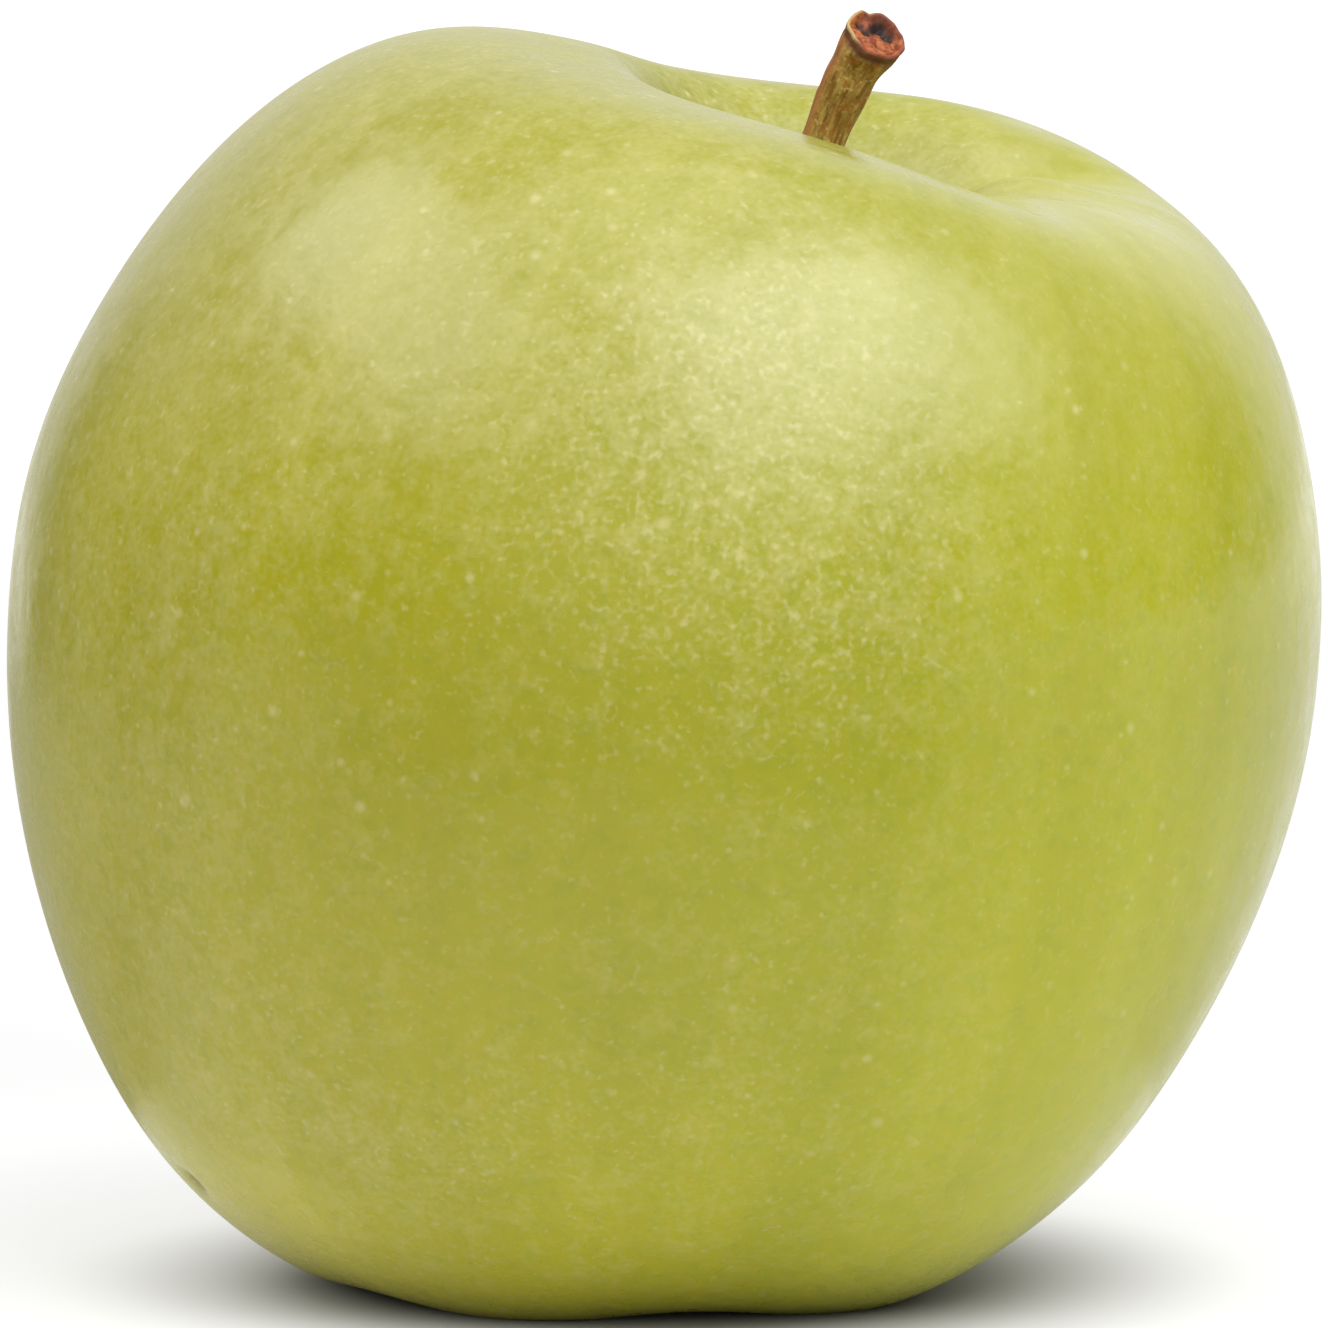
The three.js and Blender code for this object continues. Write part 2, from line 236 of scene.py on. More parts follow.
def make_fruit():
    socket_mouth = along_at_radius(SOCKET_RADIUS, 0, 0.25)
    tube_mouth = along_at_radius(CALYX_TUBE_RADIUS, 1, 0.75)
    socket_floor = half_section(0)[1] - SOCKET_DEPTH
    tube_roof = half_section(1)[1] + CALYX_TUBE_DEPTH

    along = np.linspace(tube_mouth, socket_mouth, SKIN_RINGS)
    radius, height = half_section(along)
    along = np.concatenate([[1.0], along, [0.0]])
    radius = np.concatenate([[CALYX_TUBE_RADIUS], radius, [SOCKET_RADIUS]])
    height = np.concatenate([[tube_roof], height, [socket_floor]])

    # The first column is at the back, so the UV map's seam is hidden there.
    azimuth = math.pi / 2 + np.arange(SKIN_SIDES) * 2 * math.pi / SKIN_SIDES
    rings = shape_skin(azimuth[None, :], along[:, None], radius[:, None], height[:, None])
    ends = [shape_skin(0.0, 1.0, 0.0, tube_roof), shape_skin(0.0, 0.0, 0.0, socket_floor)]
    points = np.concatenate([rings.reshape(-1, 3), np.array(ends)])
    points[:, 0] += BASE_OFFSET
    inward = np.array((0, 0, EQUATOR * AXIS_LENGTH)) - NICK
    dent = NICK_DEPTH * bump(np.linalg.norm(points - NICK, axis=1), NICK_REACH)
    points += dent[:, None] * inward / np.linalg.norm(inward)
    fruit = mesh_object("fruit_skin", points * MM, loft_faces(len(along), SKIN_SIDES))

    add_grain(fruit, azimuth, along, radius, height)
    add_colour_fields(fruit)
    add_skin_uv(fruit, len(along))
    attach(fruit, "root")
    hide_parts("fruit")
    return fruit


def add_grain(fruit, azimuth, along, radius, height):
    """Stores each point's place in a frame that runs with the fruit's growth: round it in
    x and y, as on a cylinder of the cheek's size, and along the section from the stem in z."""
    cheek = CHEEK_RADIUS * MM
    steps = np.hypot(np.diff(radius), np.diff(height)) * MM
    length = np.concatenate([[0], np.cumsum(steps)])
    length = length[-1] - length
    grain = np.zeros((len(along), len(azimuth), 3))
    grain[:, :, 0] = cheek * np.cos(azimuth)[None, :]
    grain[:, :, 1] = cheek * np.sin(azimuth)[None, :]
    grain[:, :, 2] = length[:, None]
    ends = np.array([[0, 0, length[0]], [0, 0, length[-1]]])
    store(fruit, "grain", np.concatenate([grain.reshape(-1, 3), ends]))


def clouds_at(points, size, seed):
    """Smooth noise between about -1 and 1 at each point, in blotches size millimetres across,
    with blotches of half that size on them."""
    scaled = points / size
    return np.array([rough(*at, seed) + 0.5 * rough(*(2 * at), seed + 1) for at in scaled]) / 1.5


def by_rows(value, rows):
    """The numbers of the rows of (value, numbers) blended at each value, one column each."""
    at = [row[0] for row in rows]
    return np.stack([np.interp(value, at, column) for column in zip(*(row[1] for row in rows))], -1)


# ---------------------------------------------------------------- the skin's colour fields

# The ground colour by height in mm, linear. It pales toward the base: partly the skin's
# own colour, partly painted light that lifts the shade on the lower half.
SKIN_GROUND = [
    (0, (0.450, 0.435, 0.008)),
    (10, (0.325, 0.318, 0.004)),
    (22, (0.275, 0.270, 0.004)),
    (36, (0.234, 0.232, 0.003)),
    (48, (0.228, 0.226, 0.003)),
    (60, (0.210, 0.207, 0.003)),
    (76, (0.202, 0.200, 0.003)),
]
# What it is times from left to right in mm: browner at the left, greener at the right, and
# brighter toward both sides than in the middle, which is painted light.
SKIN_SIDES_HUE_AND_LIGHT = [
    (-40, (1.17, 1.12, 1)),
    (-27, (1.11, 1.065, 1)),
    (-12, (1.06, 1.035, 1)),
    (0, (1.05, 1.055, 1)),
    (12, (1.06, 1.09, 1)),
    (26, (1.18, 1.22, 1)),
    (40, (1.22, 1.25, 1)),
]
# Broad blotches push both of them, and fine ones make the edges of places ragged: their
# size in mm and seed.
BROAD_BLOTCHES = (16, 50)
FINE_BLOTCHES = (2.8, 52)
GROUND_SHIFT = 6
# Stripes and bands that run from the stem to the base: width and length in mm, seed.
STRIPES = (3.2, 26, 54)
BANDS = (9.0, 60, 56)
GROUND_STRIPES = 0.05
GROUND_BANDS = 0.06
NICK = (-28.3, -11.0, 7.4)  # a nick low at the left
NICK_DEPTH = 0.45
NICK_REACH = 0.9
NICK_COLOUR = (0.110, 0.062, 0.014)  # dark brown in the nick
RUSSET = (0.200, 0.140, 0.030)
RUSSET_PLACES = {"foot": 0.5, "calyx": 0.4}
RUSSET_STRIPES = 0.4
# Places on the skin where its colour, bloom or gloss differs, each with the millimetres from
# it within which it is whole and past which it is gone, and how ragged its edge is.
SKIN_PLACES = {
    "patch": ((5, -36, 51), 7, 21, 8),
    "bare": ((-9, -37, 36), 8, 24, 8),
    # Painted shade: less pale bloom in a spot at the right, standing in for a dimmer reflection
    # there.
    "dim_reflection_right": ((33.2, -18.0, 51), 1, 9, 4),
    "cheek": ((-28, -26, 36), 6, 24, 5),
    "low": ((-22, -26, 9), 3, 16, 5),
    "cavity": ((9, 3, 64), 10, 17, 4),
    # Painted sheen: a pale reflection on the right shoulder.
    "right_shoulder": ((20, -4, 67), 7, 18, 6),
    "foot": ((9, 1, 58), 2.5, 9, 3),
    "calyx": ((-2.4, 0, 9), 3, 8, 3),
    "nick": (NICK, 0.4, 1.25, 0.5),
    # Painted highlight: a pale strip along the nick's upper lip.
    "nick_lip": ((NICK[0] - 0.2, NICK[1] - 0.3, NICK[2] + 1.0), 0.4, 1.3, 0.5),
}
PALE_BLOOM_AND_SHEEN = (0.75, 0.66, 0.455, 1)  # linear; the pale of the bloom, and of the painted sheen and highlight
# How much bloom there is: everywhere, more from one height to another, and at places.
BLOOM_BASE = 0.012
BLOOM_RISE = (0.046, 36, 60)
BLOOM_PLACES = {"cheek": 0.030, "low": 0.040, "patch": 0.018}
BLOOM_STRIPES = 0.015
BLOOM_BANDS = 0.014
STRIPES_DOUBLE = (50, 64)  # from and to this height the bloom's stripes grow twice as strong
# Taking bloom away at the right paints a dimmer reflection there.
BLOOM_LOST = {"bare": 0.85, "dim_reflection_right": 0.7}
# A painted sheen, a pale reflection, on the right shoulder, in the bloom's pale.
SHOULDER_PAINTED_SHEEN = 0.065
# A painted highlight along the nick's upper lip, in the bloom's pale.
NICK_LIP_PAINTED_HIGHLIGHT = 0.16
# The strength of the bloom's texture: at the left, and what it loses toward the right, high
# up and in the bare place, and gains low down and at places.
TEXTURE_LEFT = 1.15
TEXTURE_RIGHT_LOSS = (0.65, 4, 24)
TEXTURE_HIGH_LOSS = (0.15, 46, 58)
TEXTURE_LOW_GAIN = (0.25, 12, 26)
TEXTURE_BARE_LOSS = 0.3
TEXTURE_PLACES = {"patch": 0.5, "cavity": 0.5}
TEXTURE_NICK_LOSS = 0.8
# Gap between the dots, their smallest and largest radius in mm, faintest and strongest.
LENTICELS = [(2.5, 0.30, 0.58, 0.04, 0.20), (1.3, 0.18, 0.36, 0.0, 0.14)]


def add_colour_fields(fruit):
    """Stores what varies over millimetres at each point: the ground colour, how dull the
    gloss is, and in bloom_and_sheen how much pale there is, from bloom and from painted sheen
    and highlight, how strong its texture is, and how far the point is in the pale patch."""
    points = np.zeros(len(fruit.data.vertices) * 3)
    fruit.data.vertices.foreach_get("co", points)
    points = points.reshape(-1, 3) / MM
    grain = np.zeros(points.size)
    fruit.data.attributes["grain"].data.foreach_get("vector", grain)
    grain = grain.reshape(-1, 3) / MM
    x, z = points[:, 0], points[:, 2]

    def lengthwise(width, length, seed):
        return clouds_at(grain * (1 / width, 1 / width, 1 / length), 1, seed)

    broad = clouds_at(points, *BROAD_BLOTCHES)
    ragged = clouds_at(points, *FINE_BLOTCHES)
    stripes = lengthwise(*STRIPES)
    bands = lengthwise(*BANDS)

    def near(place, inner, outer, raggedness):
        """1 within inner of a place and 0 past outer, with a ragged edge."""
        distance = np.linalg.norm(points - place, axis=1) + ragged * raggedness / 2
        return ease(distance, outer, inner)

    def ramp(value, row):
        """A (height, start, end) row's height past end, and 0 before start."""
        return row[0] * ease(value, *row[1:])

    def summed(amounts):
        return sum(amount * places[name] for name, amount in amounts.items())

    places = {name: near(*shape) for name, shape in SKIN_PLACES.items()}
    shift = GROUND_SHIFT * broad
    ground = by_rows(z + shift, SKIN_GROUND) * by_rows(x + shift, SKIN_SIDES_HUE_AND_LIGHT)
    ground *= (1 + GROUND_STRIPES * stripes + GROUND_BANDS * bands)[:, None]
    russet = np.clip(summed(RUSSET_PLACES), 0, 1) * (1 + RUSSET_STRIPES * (stripes - 1))
    ground += russet[:, None] * (np.array(RUSSET) - ground)
    ground += places["nick"][:, None] * (np.array(NICK_COLOUR) - ground)

    bloom_and_sheen = BLOOM_BASE + ramp(z, BLOOM_RISE) + summed(BLOOM_PLACES)
    bloom_and_sheen += BLOOM_STRIPES * stripes * (1 + ease(z, *STRIPES_DOUBLE)) + BLOOM_BANDS * bands
    for name, loss in BLOOM_LOST.items():
        bloom_and_sheen *= 1 - loss * places[name]
    # Painted sheen: a pale reflection on the right shoulder.
    bloom_and_sheen += SHOULDER_PAINTED_SHEEN * places["right_shoulder"]
    # Painted highlight: a pale strip along the nick's upper lip.
    bloom_and_sheen += NICK_LIP_PAINTED_HIGHLIGHT * places["nick_lip"] * (1 - places["nick"])

    texture = TEXTURE_LEFT - ramp(x, TEXTURE_RIGHT_LOSS)
    texture *= 1 - ramp(z, TEXTURE_HIGH_LOSS)
    texture *= 1 + TEXTURE_LOW_GAIN[0] - ramp(z, TEXTURE_LOW_GAIN)
    texture *= 1 - TEXTURE_BARE_LOSS * places["bare"]
    texture += summed(TEXTURE_PLACES)
    texture *= 1 - TEXTURE_NICK_LOSS * places["nick"]
    fields = np.stack([np.maximum(bloom_and_sheen, 0), texture, places["patch"]], -1)
    store(fruit, "dull", places["cavity"])
    store(fruit, "ground", ground)
    store(fruit, "bloom_and_sheen", fields)


def add_skin_uv(fruit, rings):
    """Azimuth across and the way along the section up, in one chart with its seam behind."""
    layer = fruit.data.uv_layers.new(name="OFBake")
    count = len(fruit.data.loops)
    vertex = np.zeros(count, dtype=np.int32)
    fruit.data.loops.foreach_get("vertex_index", vertex)
    across = (vertex % SKIN_SIDES) / SKIN_SIDES
    up = (vertex // SKIN_SIDES + 1) / (rings + 1)
    uv = np.stack([across, up], -1)
    first = rings * SKIN_SIDES
    for polygon in fruit.data.polygons:
        loops = list(polygon.loop_indices)
        ring_loops = [k for k in loops if vertex[k] < first]
        wraps = max(uv[k, 0] for k in ring_loops) > 0.9 and min(uv[k, 0] for k in ring_loops) < 0.1
        if wraps:
            for k in ring_loops:
                if uv[k, 0] < 0.1:
                    uv[k, 0] += 1
        if len(ring_loops) < len(loops):
            pole = next(k for k in loops if vertex[k] >= first)
            uv[pole, 0] = sum(uv[k, 0] for k in ring_loops) / len(ring_loops)
            uv[pole, 1] = 0 if vertex[pole] == first else 1
    layer.data.foreach_set("uv", (uv * 0.996 + 0.002).astype(np.float32).ravel())


# ---------------------------------------------------------------- the stem

# Its centre line as the offset from its foot, and its radius there, in millimetres.
STEM = [
    ((0.0, 0.0, 0.0), 1.55),
    ((0.5, 0.0, 3.0), 1.45),
    ((1.3, -0.2, 8.5), 1.25),
    ((3.0, -0.9, 14.6), 1.3),
    ((4.6, -1.8, 18.4), 1.55),
    ((6.0, -2.7, 20.8), 1.9),
]
STEM_SIDES = 96
STEM_RINGS = 170
STEM_LENGTH = 24
STEM_GRAIN = 1.4  # the radius that the bark's grain is drawn at
STEM_RIBS = 0.05
# The bark's ridges: the noise's scale round the stem and along it, their height, seed.
BARK_RIDGES = [(2.6, 0.10, 0.055, 1), (6, 0.35, 0.035, 2), (1.2, 0.45, 0.03, 3)]
CUT_SLOPE = 0.3
CUT_SINK = 0.35
# Lumps on the dried pith and on the cut's rim: the noise's scale, their height, seed.
PITH_LUMPS = [(1.9, 0.16, 5), (5, 0.07, 6)]
RIM_LUMPS = (2.5, 0.07, 4)
# How far the cut's edge stands out beyond a round one, by the angle round it from the
# stem's right, anticlockwise seen from its end: (angle, spread, share of the radius).
CUT_OUTLINE = [(-128, 26, -0.14), (54, 30, 0.04), (-40, 30, 0.06), (120, 14, -0.06)]
# Humps and one notch in the cut's rim: (angle, spread, rise).
CUT_RIM = [(146, 18, 0.06), (84, 20, 0.12), (119, 9, -0.14), (150, 50, -0.12)]
# Hollows in the dried pith: (right, back, radius, depth).
CUT_PITS = [
    (0.05, 1.10, 0.42, 0.55),
    (0.80, 0.78, 0.36, 0.45),
    (-0.45, 0.35, 0.34, 0.30),
    (-1.05, 0.55, 0.26, 0.25),
    (0.55, -0.35, 0.22, 0.16),
    (-0.35, -0.75, 0.20, 0.12),
]
CUT_RINGS = 26


def stem_line(share):
    """The stem's centre line: a Catmull-Rom curve whose knots are spaced by the square root
    of the distance between its points."""
    points = [np.array(at) for at, _ in STEM]
    points = [2 * points[0] - points[1]] + points + [2 * points[-1] - points[-2]]
    position = share * (len(STEM) - 1)
    span = min(int(position), len(STEM) - 2)
    u = position - span
    p0, p1, p2, p3 = points[span:span + 4]
    d0, d1, d2 = (math.sqrt(np.linalg.norm(b - a)) for a, b in ((p0, p1), (p1, p2), (p2, p3)))
    t1 = ((p1 - p0) / d0 - (p2 - p0) / (d0 + d1) + (p2 - p1) / d1) * d1
    t2 = ((p2 - p1) / d1 - (p3 - p1) / (d1 + d2) + (p3 - p2) / d2) * d1
    square = 3 * (p2 - p1) - 2 * t1 - t2
    cube = 2 * (p1 - p2) + t1 + t2
    return p1 + t1 * u + square * u**2 + cube * u**3


def angle_bumps(angle, bumps):
    return sum(
        height * float(bump(turn(math.radians(at), angle), math.radians(spread)))
        for at, spread, height in bumps
    )


def make_stem():
    socket_floor = half_section(0)[1] - SOCKET_DEPTH
    foot = shape_skin(0.0, 0.0, 0.0, socket_floor + GAP)
    foot[0] += BASE_OFFSET
    points, grain, cut, pit_shade = [], [], [], []

    def frame_at(share):
        step = 0.004
        tangent = stem_line(min(share + step, 1)) - stem_line(max(share - step, 0))
        tangent /= np.linalg.norm(tangent)
        right = np.cross((0, 1, 0), tangent)
        right /= np.linalg.norm(right)
        return stem_line(share), tangent, right, np.cross(tangent, right)

    def radius_at(share):
        position = share * (len(STEM) - 1)
        lower = min(int(position), len(STEM) - 2)
        blend = float(ease(position - lower, 0, 1))
        return STEM[lower][1] * (1 - blend) + STEM[lower + 1][1] * blend

    def outline(share, angle):
        """The bark's distance from the centre line."""
        length = share * STEM_LENGTH
        flare = float(ease(share, 0.78, 1))
        ridge = sum(
            rough(around * math.cos(angle), around * math.sin(angle), up * length, seed) * height
            for around, up, height, seed in BARK_RIDGES
        )
        ledge = 0.045 * float(bump(turn(math.pi, angle), 0.9) * ease(share, 0.735, 0.70))
        reach = 1 + STEM_RIBS * math.cos(3 * angle) + ridge + ledge
        return radius_at(share) * (reach + flare * angle_bumps(angle, CUT_OUTLINE))

    def rim_rise(angle):
        around, height, seed = RIM_LUMPS
        lump = height * rough(around * math.cos(angle), around * math.sin(angle), 0, seed)
        return angle_bumps(angle, CUT_RIM) + lump

    angles = [2 * math.pi * k / STEM_SIDES for k in range(STEM_SIDES)]
    for ring in range(STEM_RINGS + 1):
        share = ring / STEM_RINGS
        centre, tangent, right, back = frame_at(share)
        slope = float(ease(share, 0.8, 1))
        for angle in angles:
            reach = outline(share, angle)
            lift = slope * CUT_SLOPE * reach * math.sin(angle)
            lift += float(ease(share, 0.93, 1)) * rim_rise(angle)
            # The bark curls in a little just under the rim.
            tuck = 1 - 0.035 * float(bump(share - 0.965, 0.012))
            place = centre + tuck * reach * (math.cos(angle) * right + math.sin(angle) * back)
            points.append(place + lift * tangent)
            grain.append((
                STEM_GRAIN * math.cos(angle),
                STEM_GRAIN * math.sin(angle),
                STEM_LENGTH * share,
            ))
            cut.append(0.0)
            pit_shade.append(0.0)

    centre, tangent, right, back = frame_at(1)
    for ring in range(1, CUT_RINGS):
        share = 1 - ring / CUT_RINGS
        for angle in angles:
            reach = outline(1, angle) * share
            x, y = reach * math.cos(angle), reach * math.sin(angle)
            rim = float(ease(share, 0.74, 0.90))
            lift = CUT_SLOPE * y + rim_rise(angle) * rim
            lift += 0.07 * float(bump(share - 0.93, 0.05)) - CUT_SINK * (1 - rim)
            inner = float(ease(share, 0.92, 0.8))
            hollow = sum(
                depth * float(bump(math.hypot(x - at_x, y - at_y), radius))
                for at_x, at_y, radius, depth in CUT_PITS
            )
            lift -= inner * hollow
            for scale, height, seed in PITH_LUMPS:
                lift += inner * height * rough(scale * x, scale * y, 0, seed)
            points.append(centre + x * right + y * back + lift * tangent)
            grain.append((x, y, STEM_LENGTH + STEM_GRAIN * (1 - share)))
            cut.append(1.0)
            # How deep the point lies in a hollow, for the painted shade there.
            pit_shade.append(min(inner * hollow / 0.4, 1))
    _, height, seed = PITH_LUMPS[0]
    top = centre + (height * rough(0, 0, 0, seed) - CUT_SINK) * tangent
    rings = STEM_RINGS + CUT_RINGS
    points = np.array(points + [stem_line(0), top]) + foot
    stem = mesh_object("woody_stem", points * MM, loft_faces(rings, STEM_SIDES))

    grain = np.array(grain + [(0, 0, 0), (0, 0, STEM_LENGTH + STEM_GRAIN)])
    store(stem, "grain", grain * MM)
    store(stem, "cut", cut + [0, 1])
    store(stem, "pit_shade", pit_shade + [0, 0])
    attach(stem, "root")
    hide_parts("stem")
    return stem


# ---------------------------------------------------------------- the dried flower

SEPALS = 5
SEPAL_TOWARD = math.radians(-76)
# A sepal's middle line as (distance from the flower's axis, height), its width and its
# thickness there.
SEPAL_LINE = [
    (1.85, 10.4, 1.9, 0.55),
    (1.90, 8.9, 2.1, 0.5),
    (2.30, 7.3, 2.3, 0.42),
    (2.30, 5.7, 1.9, 0.34),
    (2.70, 4.5, 1.2, 0.26),
    (3.50, 3.9, 0.5, 0.16),
]
SEPAL_RINGS = 34
SEPAL_SIDES = 28
COLLAR = {"inner": 1.45, "outer": 2.2, "bottom": 8.6, "top": 11.4, "sides": 90, "corners": 20}

STAMENS = 12
STAMEN_STEPS = 24
STAMEN_SIDES = 14
STAMEN_RADIUS = 0.2
STAMEN_LENGTH = 4.2
STAMEN_CIRCLE = 0.7
STAMEN_PAD = {"radius": 1.1, "thickness": 0.7, "steps": 10, "sides": 40}


def smooth_row(rows, share):
    """Rows of numbers blended by a Catmull-Rom curve at a share of the way through them."""
    rows = np.array(rows, float)
    rows = np.concatenate([[2 * rows[0] - rows[1]], rows, [2 * rows[-1] - rows[-2]]])
    position = share * (len(rows) - 3)
    span = min(int(position), len(rows) - 4)
    u = position - span
    p0, p1, p2, p3 = rows[span:span + 4]
    return 0.5 * (
        2 * p1
        + (p2 - p0) * u
        + (2 * p0 - 5 * p1 + 4 * p2 - p3) * u**2
        + (3 * p1 - p0 - 3 * p2 + p3) * u**3
    )


def flattened(value, power):
    """A sine or cosine pushed outward, which squares off the circle that it draws."""
    return math.copysign(abs(value) ** power, value)


def merged(parts):
    """One list of points and faces from several."""
    points, faces = [], []
    for part_points, part_faces in parts:
        faces += [tuple(k + len(points) for k in face) for face in part_faces]
        points += list(part_points)
    return points, faces


def sepal(azimuth, seed):
    """A dried, crinkled blade, cupped round the flower and rolled outward at its tip."""
    points = []
    for ring in range(SEPAL_RINGS + 1):
        share = ring / SEPAL_RINGS
        distance, height, width, thickness = smooth_row(SEPAL_LINE, share)
        ahead = smooth_row(SEPAL_LINE, min(share + 0.02, 1))
        behind = smooth_row(SEPAL_LINE, max(share - 0.02, 0))
        forward = np.array(ahead[:2] - behind[:2])
        forward /= np.linalg.norm(forward)
        face = np.array([-forward[1], forward[0]])
        for side in range(SEPAL_SIDES):
            angle = 2 * math.pi * side / SEPAL_SIDES
            across = math.cos(angle) * width / 2
            through = flattened(math.sin(angle), 0.7) * thickness / 2
            # The edges lift away from the axis less than the middle does, and crinkle.
            cup = -0.28 * (2 * across / width) ** 2 * (width / 2) * (1 - 0.7 * share)
            crinkle = 0.16 * share * rough(1.3 * across, 1.1 * height, 0, seed)
            crinkle += 0.05 * rough(4 * across, 3 * height, 0, seed + 1)
            out = distance + face[0] * (through + cup + crinkle)
            up = height + face[1] * (through + cup + crinkle)
            sway = 0.25 * share**2 * math.sin(2.4 * seed)
            across += sway + 0.06 * share * rough(0, 2.2 * height, 3, seed + 2)
            points.append((
                out * math.cos(azimuth) - across * math.sin(azimuth),
                out * math.sin(azimuth) + across * math.cos(azimuth),
                up,
            ))
    first, last = np.array(points[:SEPAL_SIDES]).mean(0), np.array(points[-SEPAL_SIDES:]).mean(0)
    return points + [first, last], loft_faces(SEPAL_RINGS + 1, SEPAL_SIDES)


def collar():
    """The ring that the sepals stand on, with a rough surface."""
    sides, corners = COLLAR["sides"], COLLAR["corners"]
    middle = (COLLAR["inner"] + COLLAR["outer"]) / 2
    half_width = (COLLAR["outer"] - COLLAR["inner"]) / 2
    half_height = (COLLAR["top"] - COLLAR["bottom"]) / 2
    points, faces = [], []
    for side in range(sides):
        azimuth = 2 * math.pi * side / sides
        for corner in range(corners):
            angle = 2 * math.pi * corner / corners
            wide = flattened(math.cos(angle), 0.6)
            tall = flattened(math.sin(angle), 0.6)
            lump = 1 + 0.12 * rough(3 * math.cos(azimuth) + wide, 3 * math.sin(azimuth), tall, 8)
            distance = middle + half_width * min(wide * lump, 1)
            points.append((
                distance * math.cos(azimuth),
                distance * math.sin(azimuth),
                (COLLAR["top"] + COLLAR["bottom"]) / 2 + half_height * tall,
            ))
            following = (side + 1) % sides
            above = (corner + 1) % corners
            faces.append((
                side * corners + corner,
                following * corners + corner,
                following * corners + above,
                side * corners + above,
            ))
    return points, faces


def finish_flower(name, parts, node):
    points, faces = merged(parts)
    points = (np.array(points) + (BASE_OFFSET, 0, 0)) * MM
    piece = mesh_object(name, points, faces)
    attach(piece, "root")
    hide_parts(node)
    return piece


def make_sepals():
    blades = [sepal(SEPAL_TOWARD + 2 * math.pi * k / SEPALS, 10 + 3 * k) for k in range(SEPALS)]
    return finish_flower("dried_sepals", blades + [collar()], "sepals")


def tube(line, radii, sides, seed):
    """A closed, slightly rough tube down a line of points, from the highest to the lowest."""
    points = []
    for centre, radius in zip(line, radii):
        for side in range(sides):
            angle = -2 * math.pi * side / sides
            lump = rough(2 * math.cos(angle), 2 * math.sin(angle), 2 * centre[2], seed)
            reach = radius * (1 + 0.15 * lump)
            points.append((
                centre[0] + reach * math.cos(angle),
                centre[1] + reach * math.sin(angle),
                centre[2],
            ))
    return points + [line[0], line[-1]], loft_faces(len(line), sides)


def make_stamens():
    dice = random.Random(7)
    pad_top = half_section(1)[1] + CALYX_TUBE_DEPTH - REST_PRESS - GAP
    steps, thickness = STAMEN_PAD["steps"], STAMEN_PAD["thickness"]
    profile = [math.sin(math.pi * (k + 0.5) / steps) ** 0.3 for k in range(steps)]
    pad_line = [(0, 0, pad_top - thickness * k / (steps - 1)) for k in range(steps)]
    pad_radii = [STAMEN_PAD["radius"] * share for share in profile]
    parts = [tube(pad_line, pad_radii, STAMEN_PAD["sides"], 30)]
    start = pad_top - thickness / 2
    for k in range(STAMENS):
        azimuth = 2 * math.pi * (k + 0.3 * dice.random()) / STAMENS
        spread = 0.1 + 0.4 * dice.random()
        length = STAMEN_LENGTH * (0.8 + 0.3 * dice.random())
        bend = dice.uniform(-0.35, 0.35)
        line, radii = [], []
        for step in range(STAMEN_STEPS + 1):
            share = step / STAMEN_STEPS
            distance = STAMEN_CIRCLE + spread * share
            side = bend * share**2
            line.append((
                distance * math.cos(azimuth) - side * math.sin(azimuth),
                distance * math.sin(azimuth) + side * math.cos(azimuth),
                start - share * length,
            ))
            # A thin filament with a shrivelled anther at its end.
            anther = float(bump(share - 0.92, 0.06))
            radii.append(STAMEN_RADIUS * (0.75 - 0.2 * share + 0.75 * anther))
        parts.append(tube(line, radii, STAMEN_SIDES, 31 + k))
    return finish_flower("dried_stamens", parts, "stamens")


# ---------------------------------------------------------------- node helpers


